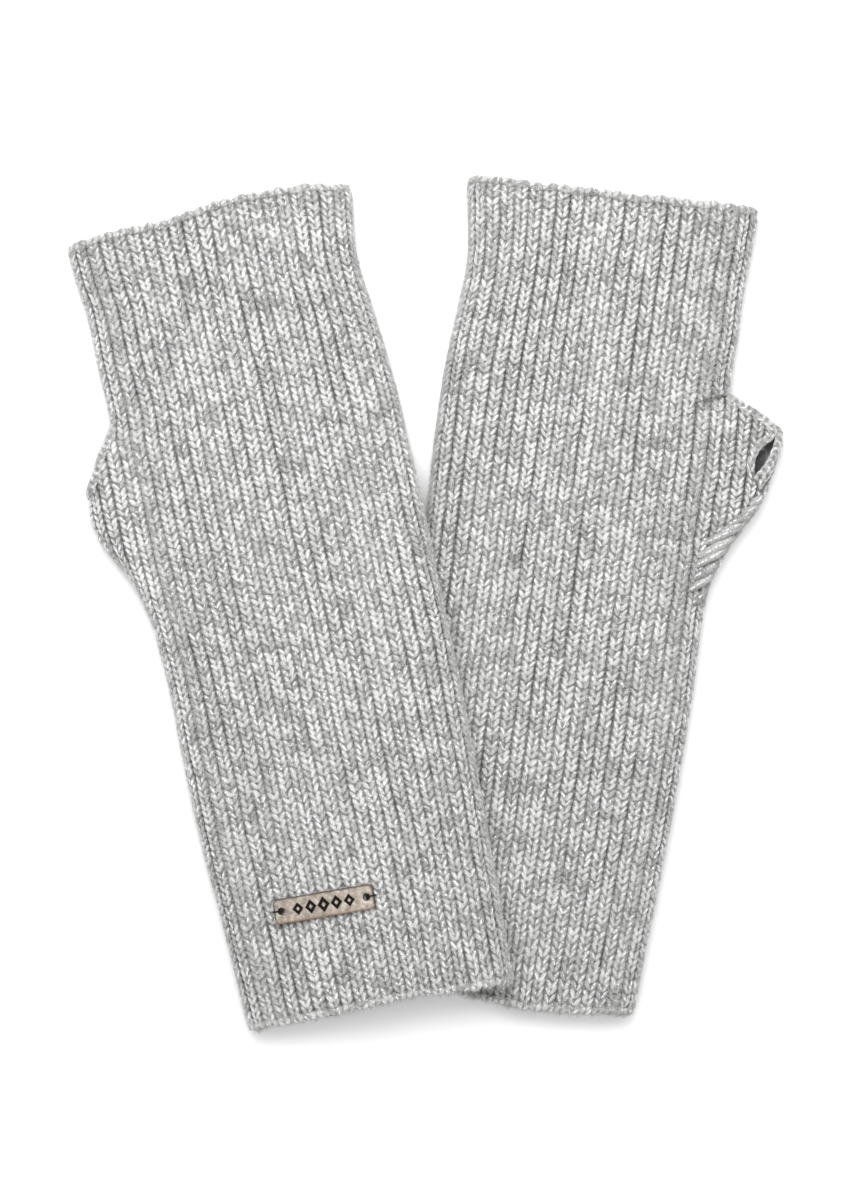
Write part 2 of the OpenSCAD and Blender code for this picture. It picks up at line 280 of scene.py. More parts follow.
def uneven_outline(g, t, s):
    """Knit never lies quite straight: its sides waver a little and its ends more."""
    wave = 0.3 * waver(t, 7, 90 + g) + 0.4 * waver(t, 3.1, 92 + g)
    at_fingers = (wave + through(FINGER_BOW[g], t)) * ease(200, GLOVE_LEN[g], s)
    at_cuff = (wave - through(CUFF_BOW[g], t)) * ease(24, 0, s)
    drift = 0.4 * waver(s, 24, 94 + g) + 0.2 * waver(s, 7, 96 + g)
    from_end = np.clip(np.minimum(s, GLOVE_LEN[g] - s) / 5, 0, 1)
    corner = 1.6 * (1 - np.sqrt(1 - (1 - from_end) ** 2))
    outer, inner = (through(side, s) for side in SIDE_OUT[g])
    side = np.where(t < 0, outer, inner)
    return t * (1 + (drift - corner + side) / PALM_HALF), s + (at_fingers + at_cuff)


def place(g, t, s, z):
    """Points (t, s, z) of glove g in the frame, in millimetres, as an array of (x, y, z)."""
    t, s = uneven_outline(g, np.asarray(t, float), np.asarray(s, float))
    s = s - CUFF_DROP * ease(MID + 2.5, MID - 2.5, z) * ease(25, 0, s)
    a = math.radians(LEAN[g])
    x = t if g == LEFT else -t
    px = CUFF_AT[g][0] + x * math.cos(a) - s * math.sin(a)
    py = CUFF_AT[g][1] + x * math.sin(a) + s * math.cos(a)
    if g == RIGHT:
        z = z + climb_at(over_left(px, py)) * (1 - ease(*CLIMB_FADE, s))
    return np.stack(np.broadcast_arrays(px, py, z), -1)


def fork_crease(g, arc, s):
    """Depth of the crease at the fork: a sharp step down that rises again towards the cuff."""
    inward = hand_arc(g, s) - arc - FOLD_R
    below = FORK_S[g] - 0.4 * inward - s
    step = ease(-0.4, 0.2, below) * np.exp(-np.clip(below, 0, None) / 2.2)
    return FORK_CREASE[g] * step * ease(14, 5, inward)


def layer(g, up, arc, s, out):
    """Points of one layer at arc length arc across it, out millimetres off its smooth outside."""
    if up == BACK:
        out = out - fork_crease(g, arc, s)
    thumb = arc > 0
    width = np.where(thumb, thumb_width(g, s), half_width(g, s))
    free = np.where(thumb, opened(g, s), 0)
    core = width - FOLD_R
    turn = np.clip((np.abs(arc) - core) / FOLD_R, 0, None)
    side = np.where(thumb, 1.0, -1.0)
    reach = FOLD_R + out
    round_t = side * (np.minimum(np.abs(arc), core) + reach * np.sin(turn))
    round_z = reach * np.cos(turn)
    t = mix(round_t, arc, free)
    z = mix(round_z, reach, free)
    return place(g, t, s, MID + up * z)


def wale_at(g, arc, s):
    """The stitch column at a point, counted from the glove's middle."""
    return arc * HALF_WALES / hand_arc(g, s)


def course_at(g, s):
    """The row at a point, counted from the cuff."""
    return s / COURSE_LEN[0] + s * s * (1 / COURSE_LEN[1] - 1 / COURSE_LEN[0]) / (2 * GLOVE_LEN[g])


# ---- the stitches ----

def stitch(u, v, seed, gap=0.0):
    """The knit at column u and row v: its height, nought at the top of a usual leg, and where the
    point lies on the leg that shows there. Every stitch has two legs, each a plump grain of yarn
    that leans out from the column's middle, and covers the upper end of the one below it."""
    half, row = np.floor(2 * u), np.floor(v)
    in_groove = ease(0.36, 0.5, np.abs(u - np.floor(u) - 0.5))
    best = -LEG_HEIGHT * mix(0.55, 0.72 + 0.43 * gap, in_groove)
    leg = np.full(u.shape + (3,), 0.3)
    # the yarn's third value sets the painted shade: dark on the floor between the legs, darkest in wide
    # grooves, light on a leg's round top
    yarn = np.stack([v * STITCH_SIZE[1], 0 * u, mix(0.3, 0.3 * (1 - gap), in_groove)], -1)
    for h, r in ((half + i, row + j) for i in (-1, 0, 1) for j in (-1, 0, 1)):
        dice = [hashed(h, r, seed + k) for k in range(5)]
        out = np.where(h % 2 == 1, 1.0, -1.0)
        lean = np.radians(LEG_LEAN + 12 * (dice[0] - 0.5))
        x = (u - h / 2 - 0.25 + out * (0.006 + 0.026 * gap)) * STITCH_SIZE[0] * out + 0.22 * (dice[1] - 0.5)
        y = (v - r - 0.5) * STITCH_SIZE[1] + 0.5 * (dice[2] - 0.5)
        along = x * np.sin(lean) + y * np.cos(lean)
        across = x * np.cos(lean) - y * np.sin(lean)
        plump = (1 - 0.14 * gap) * (0.93 + 0.14 * dice[3])
        inside = 1 - (along / LEG_SIZE[0]) ** 2 - (across / (LEG_SIZE[1] * plump)) ** 2
        round_top = np.sqrt(np.clip(inside, 0, 1))
        height = LEG_HEIGHT * (round_top * (0.88 + 0.24 * dice[4]) - 1) - LEG_TILT * along
        height = np.where(inside > 0, height, -9.0)
        top = height > best
        best = np.where(top, height, best)
        leg = np.where(top[..., None], np.stack([dice[1], dice[3], dice[2]], -1), leg)
        yarn = np.where(top[..., None], np.stack([along, across, round_top], -1), yarn)
    return best, leg, yarn


def groove_gap(g, u, s):
    """How far the columns stand apart, from 0 to 1: most at the fingers and beside the side folds."""
    spot = noise(np.round(u) * 0.73, s / 34, 60 + g)
    dash = noise(np.round(u) * 7.3, s / 2.7, 64 + g)
    wide = 0.2 * ease(175, 225, s) + 0.35 * ease(5.5, 8.5, np.abs(u))
    return np.clip(0.27 + wide + 0.65 * spot + 0.5 * dash, 0, 1)


def wobbled(g, up, u, v):
    """Columns and rows as they really lie, a little uneven."""
    seed = 10 * g + up
    du = 0.09 * noise(u / 5, v / 17, seed + 21) + 0.05 * noise(u * 0.9, v / 3, seed + 22)
    dv = 0.45 * noise(u / 5, v / 21, seed + 23) + 0.14 * noise(u * 1.3, v / 2.2, seed + 24)
    return u + du, v + dv


# ---- meshes ----

def new_object(name, data):
    made = bpy.data.objects.new(name, data)
    bpy.context.scene.collection.objects.link(made)
    return made


def new_piece(name, points, quads, tris, uv, leg, yarn):
    """A mesh from arrays: points in millimetres, faces, columns and rows, and the yarn's own data."""
    mesh = bpy.data.meshes.new(name)
    mesh.vertices.add(len(points))
    mesh.vertices.foreach_set("co", (points * MM).astype(np.float32).ravel())
    corners = np.concatenate([quads.ravel(), tris.ravel()]).astype(np.int32)
    counts = np.concatenate([np.full(len(quads), 4), np.full(len(tris), 3)])
    starts = np.concatenate([[0], np.cumsum(counts)[:-1]]).astype(np.int32)
    mesh.loops.add(len(corners))
    mesh.loops.foreach_set("vertex_index", corners)
    mesh.polygons.add(len(counts))
    mesh.polygons.foreach_set("loop_start", starts)
    mesh.update(calc_edges=True)
    mesh.shade_smooth()
    mesh.uv_layers.new(name="knit").data.foreach_set("uv", uv[corners].astype(np.float32).ravel())
    for key, values in (("leg", leg), ("yarn", yarn)):
        data = mesh.attributes.new(key, "FLOAT_VECTOR", "POINT").data
        data.foreach_set("vector", values.astype(np.float32).ravel())
    mesh.set_sharp_from_angle(angle=math.radians(80))
    return new_object(name, mesh)


class Parts:
    """Collects the points and faces of one piece."""

    def __init__(self):
        self.points, self.uv, self.leg, self.yarn = [], [], [], []
        self.quads, self.tris = [], []
        self.count = 0

    def add(self, points, uv, leg, yarn):
        """Takes a grid of points and returns their numbers."""
        first = self.count
        self.points.append(points.reshape(-1, 3))
        self.uv.append(uv.reshape(-1, 2))
        self.leg.append(leg.reshape(-1, 3))
        self.yarn.append(yarn.reshape(-1, 3))
        self.count += points.size // 3
        return first + np.arange(points.size // 3).reshape(points.shape[:2])

    def grid(self, ids, flip):
        a, b, c, d = ids[:-1, :-1], ids[:-1, 1:], ids[1:, 1:], ids[1:, :-1]
        order = (a, d, c, b) if flip else (a, b, c, d)
        self.quads.append(np.stack(order, -1).reshape(-1, 4))

    def cord(self, points, uv, leg, yarn, flip, closed):
        """A grid rolled up on itself, whose last point across is its first again."""
        ids = self.add(*(values[:, :-1] for values in (points, uv, leg, yarn)))
        ids = np.concatenate([ids, ids[:, :1]], 1)
        if closed:
            ids = np.concatenate([ids, ids[:1]], 0)
        self.grid(ids, flip)
        return ids

    def stitch_border(self, fine, coarse, flip):
        """Joins a fine row of points to a coarse one that runs beside it."""
        k = (len(fine) - 1) // (len(coarse) - 1)
        tris = []
        for j in range(len(coarse) - 1):
            half = j * k + k // 2
            tris += [(fine[i], fine[i + 1], coarse[j]) for i in range(j * k, half)]
            tris.append((fine[half], coarse[j + 1], coarse[j]))
            tris += [(fine[i], fine[i + 1], coarse[j + 1]) for i in range(half, (j + 1) * k)]
        tris = np.array(tris)
        self.tris.append(tris[:, ::-1] if flip else tris)

    def piece(self, name):
        tris = np.concatenate(self.tris) if self.tris else np.zeros((0, 3), int)
        return new_piece(
            name, np.concatenate(self.points), np.concatenate(self.quads), tris,
            np.concatenate(self.uv), np.concatenate(self.leg), np.concatenate(self.yarn),
        )


def knit_patch(parts, g, up, arc_from, arc_to, s_from, s_to, per_wale, per_course):
    """One closed patch of knit between two lines across the layer, given as functions of s."""
    step, wale_width = LINING_STEP, 4.28
    rows = step * max(2, round((s_to - s_from) / STITCH_SIZE[1] * per_course / step))
    widest = max(float(np.max(arc_to(x) - arc_from(x))) for x in np.linspace(s_from, s_to, 40))
    cols = step * max(2, round(widest / wale_width * per_wale / step))
    s, k = np.meshgrid(np.linspace(s_from, s_to, rows + 1), np.linspace(0, 1, cols + 1), indexing="ij")
    arc = mix(arc_from(s), arc_to(s), k)
    u, v = wobbled(g, up, wale_at(g, arc, s), course_at(g, s))
    height, leg, yarn = stitch(u, v, 10 * g + up, groove_gap(g, u, s))
    swell = 0.3 * noise(arc / 17, s / 23, 40 + g) - 0.3
    for from_end in (s - RIM_R, GLOVE_LEN[g] - RIM_R - s):
        swell = swell - 0.7 * (1 - ease(0, 3.5, from_end))
    uv = np.stack([u, v], -1)
    outer = parts.add(layer(g, up, arc, s, height + swell), uv, leg, yarn)
    # the lining, darkened all over with painted shade for its grooves
    arc, s, v, uv, leg, yarn = (values[::step, ::step] for values in (arc, s, v, uv, leg, yarn))
    low = layer(g, up, arc, s, 0.12 * np.cos(2 * math.pi * v) - WALL)
    inner = parts.add(low, uv + (0.5, 0.5), leg, yarn * (1, 1, 0) + (0, 0, 0.25))
    flip = (g == RIGHT) == (up == BACK)
    parts.grid(outer, flip)
    parts.grid(inner, not flip)
    parts.stitch_border(outer[0], inner[0], not flip)
    parts.stitch_border(outer[-1], inner[-1], flip)
    parts.stitch_border(outer[:, 0], inner[:, 0], flip)
    parts.stitch_border(outer[:, -1], inner[:, -1], not flip)
    fibres_on_layer(parts, g, up, arc_from, arc_to, s_from, s_to)


def loose_fibres(parts, root, tip, uv, seed):
    """Short fibres that stand off the yarn and above the floor, each a needle with three sides."""
    tip = np.concatenate([tip[:, :2], np.maximum(tip[:, 2:], FLOOR_Z + 0.1)], 1)
    ahead = unit(tip - root)
    side = unit(np.cross(ahead, (0, 0, 1.0)))
    over = np.cross(side, ahead)
    corners = (root + FIBRE_R * side, root - FIBRE_R * side, root + FIBRE_R * over, tip)
    dice = np.stack([hashed(np.arange(len(root)), k, seed) for k in range(3)], -1)
    dice[:, 2] *= 0.4
    yarn = np.array([0, 0, 1.0]) + 0 * root
    ids = parts.add(np.stack(corners, 1), *(np.stack([values] * 4, 1) for values in (uv, dice, yarn)))
    a, b, c, d = ids.T
    parts.tris += [np.stack(f, -1) for f in ((a, c, b), (a, b, d), (b, c, d), (c, a, d))]


def fibres_on_layer(parts, g, up, arc_from, arc_to, s_from, s_to):
    """Loose fibres over a patch of knit, at random."""
    ends = np.array([s_from, s_to])
    widest = float(np.max(arc_to(ends) - arc_from(ends)))
    count = int(FIBRES_PER_MM2[up] * widest * (s_to - s_from))
    rng = np.random.default_rng(int(100 + 10 * g + up + s_from))
    s = rng.uniform(s_from + 0.5, s_to - 0.5, count)
    # the folded sides are the fuzziest
    arc = mix(arc_from(s) + 0.3, arc_to(s) - 0.3, rng.beta(0.5, 0.5, count))
    turn = rng.uniform(0, 2 * math.pi, count)
    length = 0.9 + 1.5 * rng.random(count) ** 2
    lift = rng.uniform(0.1, 0.8, count)
    root = layer(g, up, arc, s, -0.35 + 0 * s)
    tip = layer(g, up, arc + length * np.cos(turn), s + length * np.sin(turn), lift)
    uv = np.stack([wale_at(g, arc, s), course_at(g, s)], -1)
    loose_fibres(parts, root, tip, uv, 7 + g)


def points_along(path, marks, at):
    """Points on a path whose own points lie at the marks."""
    return np.stack([np.interp(at, marks, path[:, i]) for i in range(3)], -1)


def smoothed(line, times):
    """The line with its corners rounded off. Its ends stay."""
    for _ in range(times):
        line[1:-1] = (line[:-2] + 2 * line[1:-1] + line[2:]) / 4
    return line


def unit(vectors):
    return vectors / np.linalg.norm(vectors, axis=1)[:, None]


def tube(parts, path, radius, around=14, row_len=STITCH_SIZE[1], closed=False, up=(0, 0, 1), relief=0.35,
         taper=1.0, seed=5, plain=0):
    """A round cord along a path in the frame, knitted in two columns. With plain, the number of a
    single leg of yarn, it is that leg instead."""
    step = np.linalg.norm(np.diff(path, axis=0), axis=1)
    length = np.concatenate([[0], np.cumsum(step)])
    count = max(4, int(length[-1] / CORD_STEP))
    at = np.linspace(0, length[-1], count + 1)
    line = points_along(path, length, at)
    if closed:
        line = line[:-1]
        at = at[:-1]
        ahead = np.roll(line, -1, 0) - np.roll(line, 1, 0)
    else:
        ahead = np.gradient(line, axis=0)
    ahead = unit(ahead)
    across = unit(np.cross(ahead, np.array(up, float)))
    over = np.cross(across, ahead)
    along, angle = np.meshgrid(at, np.linspace(0, 2 * math.pi, around + 1), indexing="ij")
    v = along / row_len
    u = angle / math.pi + 0.5
    if plain:
        height = 0.5 * noise(0.9 * along + 1.2 * np.cos(angle), 1.2 * np.sin(angle), plain)
        leg = np.zeros(u.shape + (3,)) + [0.6 * hashed(plain, 0, 3), hashed(plain, 1, 3), 0.9]
        # the third value is painted shade: light on top of the leg, dark beneath it
        yarn = np.stack([along, radius * np.cos(angle), 0.28 + 0.42 * np.sin(angle)], -1)
    else:
        height, leg, yarn = stitch(u, v, seed)
        height = np.maximum(height, -0.5)
        # painted shade in the cord's grooves is kept light
        yarn[..., 2] = np.maximum(yarn[..., 2], 0.5)
    rad = radius + relief * height
    if not closed:
        ends = np.clip(np.minimum(at, length[-1] - at) / (taper * radius), 0, 1)
        rad = rad * np.sqrt(np.clip(1 - (1 - ends) ** 2, 0.02, 1))[:, None]
    outward = np.cos(angle)[..., None] * across[:, None] + np.sin(angle)[..., None] * over[:, None]
    points = line[:, None] + rad[..., None] * outward
    ids = parts.cord(points, np.stack([u, v], -1), leg, yarn, True, closed)
    if not closed:
        for ring, flip in ((ids[0, :-1], False), (ids[-1, :-1], True)):
            fan = np.array([(ring[0], ring[i], ring[i + 1]) for i in range(1, len(ring) - 1)])
            parts.tris.append(fan[:, ::-1] if flip else fan)


# ---- materials ----

class Nodes:
    """A short way to write shader nodes."""

    def __init__(self, name):
        self.material = bpy.data.materials.new(name)
        self.material.use_nodes = True
        self.tree = self.material.node_tree
        self.tree.nodes.clear()
        self.shader = self.new("ShaderNodeBsdfPrincipled")
        output = self.new("ShaderNodeOutputMaterial")
        self.link(self.shader.outputs[0], output.inputs[0])

    def new(self, kind, **settings):
        node = self.tree.nodes.new(kind)
        for key, value in settings.items():
            setattr(node, key, value)
        return node

    def link(self, source, target):
        self.tree.links.new(source, target)

    def put(self, target, value):
        if isinstance(value, bpy.types.NodeSocket):
            self.link(value, target)
        else:
            target.default_value = value

    def math(self, operation, *values):
        node = self.new("ShaderNodeMath", operation=operation)
        for target, value in zip(node.inputs, values):
            self.put(target, value)
        return node.outputs[0]

    def plus(self, a, b):
        return self.math("ADD", a, b)

    def minus(self, a, b):
        return self.math("SUBTRACT", a, b)

    def times(self, a, b):
        return self.math("MULTIPLY", a, b)

    def vector(self, x, y, z):
        node = self.new("ShaderNodeCombineXYZ")
        for target, value in zip(node.inputs, (x, y, z)):
            self.put(target, value)
        return node.outputs[0]

    def split(self, vector):
        node = self.new("ShaderNodeSeparateXYZ")
        self.link(vector, node.inputs[0])
        return node.outputs

    def noise(self, vector, scale, detail=2.0, roughness=0.5):
        node = self.new("ShaderNodeTexNoise")
        self.put(node.inputs["Vector"], vector)
        node.inputs["Scale"].default_value = scale
        node.inputs["Detail"].default_value = detail
        node.inputs["Roughness"].default_value = roughness
        return node.outputs["Fac"]

    def ramp(self, value, *stops):
        node = self.new("ShaderNodeValToRGB")
        self.put(node.inputs[0], value)
        while len(node.color_ramp.elements) < len(stops):
            node.color_ramp.elements.new(0.5)
        for element, (position, colour) in zip(node.color_ramp.elements, stops):
            element.position = position
            element.color = (*colour, 1) if isinstance(colour, tuple) else (colour,) * 3 + (1,)
        return node.outputs[0]

    def read(self, attribute):
        node = self.new("ShaderNodeAttribute", attribute_name=attribute)
        return self.split(node.outputs["Vector"])

    def blend(self, factor, a, b, mode="MIX"):
        node = self.new("ShaderNodeMix", data_type="RGBA", blend_type=mode)
        self.put(node.inputs[0], factor)
        self.put(node.inputs[6], a)
        self.put(node.inputs[7], b)
        return node.outputs[2]

    def bump(self, height, distance, strength=1.0):
        node = self.new("ShaderNodeBump")
        node.inputs["Strength"].default_value = strength
        node.inputs["Distance"].default_value = distance
        self.link(height, node.inputs["Height"])
        self.link(node.outputs[0], self.shader.inputs["Normal"])

    def set(self, **values):
        for name, value in values.items():
            self.put(self.shader.inputs[name.replace("_", " ")], value)


def wool(g, slot):
    """Heather-grey yarn with fine metallic flecks, drawn stitch by stitch from columns and rows."""
    n = Nodes(f"{SIDES[g]}_{slot}")
    seed = 3.0 + g
    u, v, _ = n.split(n.new("ShaderNodeUVMap", uv_map="knit").outputs[0])
    tone, shift, choice = n.read("leg")
    along, width, depth = n.read("yarn")
    shift = n.times(shift, 37.0)
    fibre = n.noise(n.vector(n.times(width, 2.4), n.times(along, 1.1), shift), 1.0, 4.0, 0.75)
    speck = n.noise(n.vector(n.times(u, 9.0), n.times(v, 4.6), seed), 1.0, 2.0, 0.7)
    ply = n.math("SINE", n.times(n.plus(along, n.times(width, 1.3)), 6.4))
    patch = n.noise(n.vector(n.times(u, 0.45), n.times(v, 0.25), seed), 1.0, 3.0)

    grey = n.plus(n.times(fibre, 0.6), n.times(speck, 0.44))
    grey = n.plus(grey, n.times(n.minus(tone, 0.5), 0.17))
    grey = n.plus(grey, n.times(n.minus(patch, 0.5), 0.22))
    colour = n.ramp(
        grey, (0.32, (0.15, 0.149, 0.148)), (0.43, (0.37, 0.368, 0.364)),
        (0.53, (0.55, 0.547, 0.54)), (0.63, (0.72, 0.717, 0.71)), (0.74, (0.92, 0.92, 0.915)),
    )
    # the flecks: a short bright line along some of the legs, the metallic fibres' own pale colour with a
    # painted glint
    off_line = n.math("ABSOLUTE", n.minus(width, n.minus(tone, 0.5)))
    chosen = n.math("GREATER_THAN", choice, 0.55)
    broken = n.math("GREATER_THAN", n.noise(n.vector(along, shift, 0.0), 1.1, 1.0), 0.5)
    fleck = n.times(n.math("LESS_THAN", off_line, 0.2), n.times(chosen, broken))
    glint = n.ramp(speck, (0.4, (1.0, 0.93, 0.9)), (0.5, (1.0, 1.0, 1.0)), (0.6, (0.88, 0.94, 1.0)))
    colour = n.blend(n.times(fleck, 0.95), colour, glint)
    # painted shade between the stitches, beneath round yarn and over the lining
    shade = n.ramp(depth, (0.0, 0.17), (0.35, 0.54), (0.8, 1.0))
    colour = n.blend(1.0, colour, shade, "MULTIPLY")
    # each slot's lightness, with painted shade on the seam and edge yarn
    n.set(Base_Color=n.blend(1.0, colour, (*[WOOL_LIGHT[slot]] * 3, 1), "MULTIPLY"))
    n.set(Roughness=n.minus(0.92, n.times(fleck, 0.55)))
    n.set(Sheen_Weight=0.25, Sheen_Roughness=0.5, Specular_IOR_Level=0.3)
    n.bump(n.plus(n.times(ply, 0.35), n.times(fibre, 1.6)), 0.00016, 0.9)
    n.material["slot"] = slot
    return n.material


# ---- the pieces of a glove ----

def finish_piece(piece, material, node):
    piece.data.materials.append(material)
    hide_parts(node)


def finish_knit(piece, g, material, node, bends=False):
    """Gives the knit its material and hides its CAD node. It rides on its glove, or stays in the frame where
    the thumb folds.
    """
    finish_piece(piece, material, f"{SIDES[g]}_{node}")
    if bends:
        start, end = (tuple(place(g, np.array(t), np.array(BEND_S), np.array(MID)) * MM) for t in BEND)
        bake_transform(piece)
    else:
        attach(piece, f"{SIDES[g]}_glove")
    return piece


def knit_sheet(g, up, name, patches):
    """Builds a piece of knit from its patches, each between two lines across the layer and two
    distances along it."""
    parts = Parts()
    cut_area, across = 0.0, 0.0
    for arc_from, arc_to, s_from, s_to in patches:
        knit_patch(parts, g, up, arc_from, arc_to, s_from, s_to, *KNIT_DETAIL[up])
        s = np.linspace(s_from, s_to, 200)
        cut_area += float(np.mean(arc_to(s) - arc_from(s))) * (s_to - s_from)
        across = max(across, float(np.max(arc_to(s) - patches[0][0](s))))
    piece = parts.piece(name)
    return piece


def split_at(g):
    """The groove where a hand's main piece ends and the gusset begins, as a function of s."""
    return lambda s: hand_arc(g, s) * SPLIT_WALE / HALF_WALES


def hand_knit(g, up, material):
    """The back or the palm of a hand: one patch to the split groove, and the strips beside it."""
    name = LAYERS[up]
    split, top = split_at(g), GLOVE_LEN[g] - RIM_R

    def outer_end(s):
        return SEAM_GAP - hand_arc(g, s)

    def thumb_end(s):
        return thumb_arc(g, up, s) - SEAM_GAP

    patches = (
        (outer_end, split, RIM_R, top),
        (split, thumb_end, RIM_R, GUSSET_S),
        (split, thumb_end, FORK_S[g], top),
    )
    piece = knit_sheet(g, up, f"{SIDES[g]}_{name}_knit", patches)
    return finish_knit(piece, g, material, f"{name}_panel")


def gusset_knit(g, up, material, with_pieces):
    """One layer of the thumb gusset, from the split groove out to the seam and the thumb opening."""
    name = f"gusset_{LAYERS[up]}"

    def end(s):
        return thumb_arc(g, up, s) - SEAM_GAP * (1 - opened(g, s))

    patches = ((split_at(g), end, GUSSET_S, FORK_S[g]),)
    piece = knit_sheet(g, up, f"{SIDES[g]}_{name}_knit", patches)
    return finish_knit(piece, g, material, name, bends=True)


def side_chain(g, side, s_from, s_to, name, material):
    """The linking between back and palm, a knitted cord that lies in a side fold."""
    s = np.linspace(s_from, s_to, 90)
    width = half_width(g, s) if side < 0 else thumb_width(g, s)
    parts = Parts()
    tube(parts, place(g, side * (width - 1.6), s, np.full_like(s, MID)), 1.75, relief=0.6, seed=31 + g)
    piece = parts.piece(f"{SIDES[g]}_{name}_chain")
    return finish_knit(piece, g, material, f"{name}_seam")


def gusset_chain(g, material):
    """The linking up the gusset's slanting edge: a cord in the fold and long legs of yarn over it."""
    s = np.linspace(GUSSET_S + 2, slit_start(g), 60)
    parts = Parts()
    tube(parts, place(g, thumb_width(g, s) - 1.2, s, np.full_like(s, MID)), 1.7, seed=61 + g)
    run = np.linspace(0, 1, 12)
    raised = 0.4 if SLIT_LAYER[g] == BACK else -0.7
    leg_count = 10
    for k, first in enumerate(np.linspace(GUSSET_S + 3, slit_start(g) - 7, leg_count)):
        along, inward, fuller = (hashed(k, dice, 7) for dice in (1, 2, 3))
        first = first + 1.2 * (along - 0.5)
        inset = SEAM_REACH[g] * float(through(SEAM_IN, np.array(first))) + 1.4 * inward
        at_s = first + (0.95 * inset + 1.2) * run
        arc = thumb_width(g, at_s) - inset + (inset + 0.8) * run
        thick = 1.2 + 0.35 * fuller
        out = 0.9 * np.sin(math.pi * run) + raised - thick
        tube(parts, layer(g, SLIT_LAYER[g], arc, at_s, out), thick, around=12, taper=2.2, plain=k + 1)
    piece = parts.piece(f"{SIDES[g]}_gusset_chain")
    return finish_knit(piece, g, material, "gusset_seam", bends=True)


def open_rim(g, at_fingers, name, material):
    """The cast-on or bound-off edge round an opening, with a lobe to each stitch column."""
    outward = 1 if at_fingers else -1
    s = GLOVE_LEN[g] - RIM_R if at_fingers else RIM_R
    half = float(hand_arc(g, s))
    core = float(half_width(g, s)) - FOLD_R
    arc = np.linspace(-half, half, 2 * HALF_WALES * RIM_DETAIL + 1)[:-1]
    arc, up = np.concatenate([arc, -arc]), np.repeat([BACK, PALM], len(arc))
    wale = arc * HALF_WALES / half
    lobe = np.abs(np.sin(math.pi * wale)) ** 0.7 * (1 if at_fingers else 0.5)
    uneven = 0.16 * noise(wale * 1.3, up * 3.0, 47 + g)
    radius = RIM_R * (0.84 + 0.22 * lobe + uneven)
    turn = np.clip((np.abs(arc) - core) / FOLD_R, 0, None)
    r = FOLD_R - RIM_R
    t = np.sign(arc) * (np.minimum(np.abs(arc), core) + r * np.sin(turn))
    z = up * r * np.cos(turn)
    ring = np.linspace(0, 2 * math.pi, RING)
    u, ring = np.meshgrid(wale, ring, indexing="ij")
    v = 3 * ring / (2 * math.pi)
    height, leg, yarn = stitch(u, v, 71 + g + 2 * at_fingers)
    # painted shade in the rim's grooves is kept light
    yarn[..., 2] = np.maximum(yarn[..., 2], 0.5)
    reach = radius[:, None] + 0.3 * (np.maximum(height, -0.7) + 0.3)
    # the ring stands across the edge: out along the glove, and away from the mid-plane
    away_t, away_z = np.sign(arc) * np.sin(turn), up * np.cos(turn)
    ds = outward * (0.35 * (lobe[:, None] - 0.5) + reach * np.cos(ring))
    away = reach * np.sin(ring)
    points = place(g, t[:, None] + away_t[:, None] * away, s + ds, MID + z[:, None] + away_z[:, None] * away)
    parts = Parts()
    uv = np.stack([u, v], -1)
    parts.cord(points, uv, leg, yarn, (g == LEFT) != at_fingers, closed=True)
    rng = np.random.default_rng(31 + g)
    i = rng.integers(0, len(points), RIM_FIBRES)
    j = rng.integers(0, RING, RIM_FIBRES)
    i_tip = np.clip(i + rng.integers(-5, 6, RIM_FIBRES), 0, len(points) - 1)
    away = rng.uniform(0.6, 1.6, RIM_FIBRES)
    heart = place(g, t, s + 0 * t, MID + z)
    tip = points[i_tip, j] + unit(points[i_tip, j] - heart[i_tip]) * away[:, None]
    loose_fibres(parts, points[i, j], tip, uv[i, j], 17 + g)
    piece = parts.piece(f"{SIDES[g]}_{name}_rim")
    return finish_knit(piece, g, material, f"{name}_edge")


def thumb_rim(g, material):
    """The bound-off rim round the thumb opening, along both layers."""
    s = np.linspace(FORK_S[g] - 0.5, slit_start(g), 70)

    def run(up):
        beside = 1 - ease(TIP_S[g] - 4, TIP_S[g] + 2, s)
        tuck = beside * (0.7 if up == SLIT_LAYER[g] else -0.2)
        sunk = 2.0 * (1 - ease(slit_start(g), slit_start(g) + 4, s))
        return layer(g, up, thumb_arc(g, up, s) + 0.5 - 1.2 * beside, s, -THUMB_RIM_R - tuck - sunk)

    over, under = run(BACK), run(PALM)[::-1]
    root = place(g, half_width(g, FORK_S[g]) - 1.5, np.array([FORK_S[g] + 0.8]), MID)
    loop = smoothed(np.concatenate([over, under, root, over[:1]]), 10)
    parts = Parts()
    tube(parts, loop, THUMB_RIM_R + 0.12, closed=True, up=(0.1, 0.2, 1), relief=0.4, seed=81 + g)
    piece = parts.piece(f"{SIDES[g]}_thumb_rim")
    return finish_knit(piece, g, material, "thumb_edge", bends=True)


def glove(g):
    """One whole glove, built piece by piece."""
    knit, seam, edge = (wool(g, slot) for slot in WOOL_LIGHT)
    sides = [
        side_chain(g, -1, RIM_R, GLOVE_LEN[g] - RIM_R, "outer", seam),
        side_chain(g, 1, RIM_R, GUSSET_S + 2, "wrist", seam),
        side_chain(g, 1, FORK_S[g] + 1.6, GLOVE_LEN[g] - RIM_R, "finger", seam),
    ]
    rims = [open_rim(g, False, "cuff", edge), open_rim(g, True, "finger", edge)]
    hand_knit(g, BACK, knit)
    hand_knit(g, PALM, knit)
    gusset_knit(g, BACK, knit, [thumb_rim(g, edge)])
    gusset_knit(g, PALM, knit, [gusset_chain(g, seam)])


# ---- the label ----

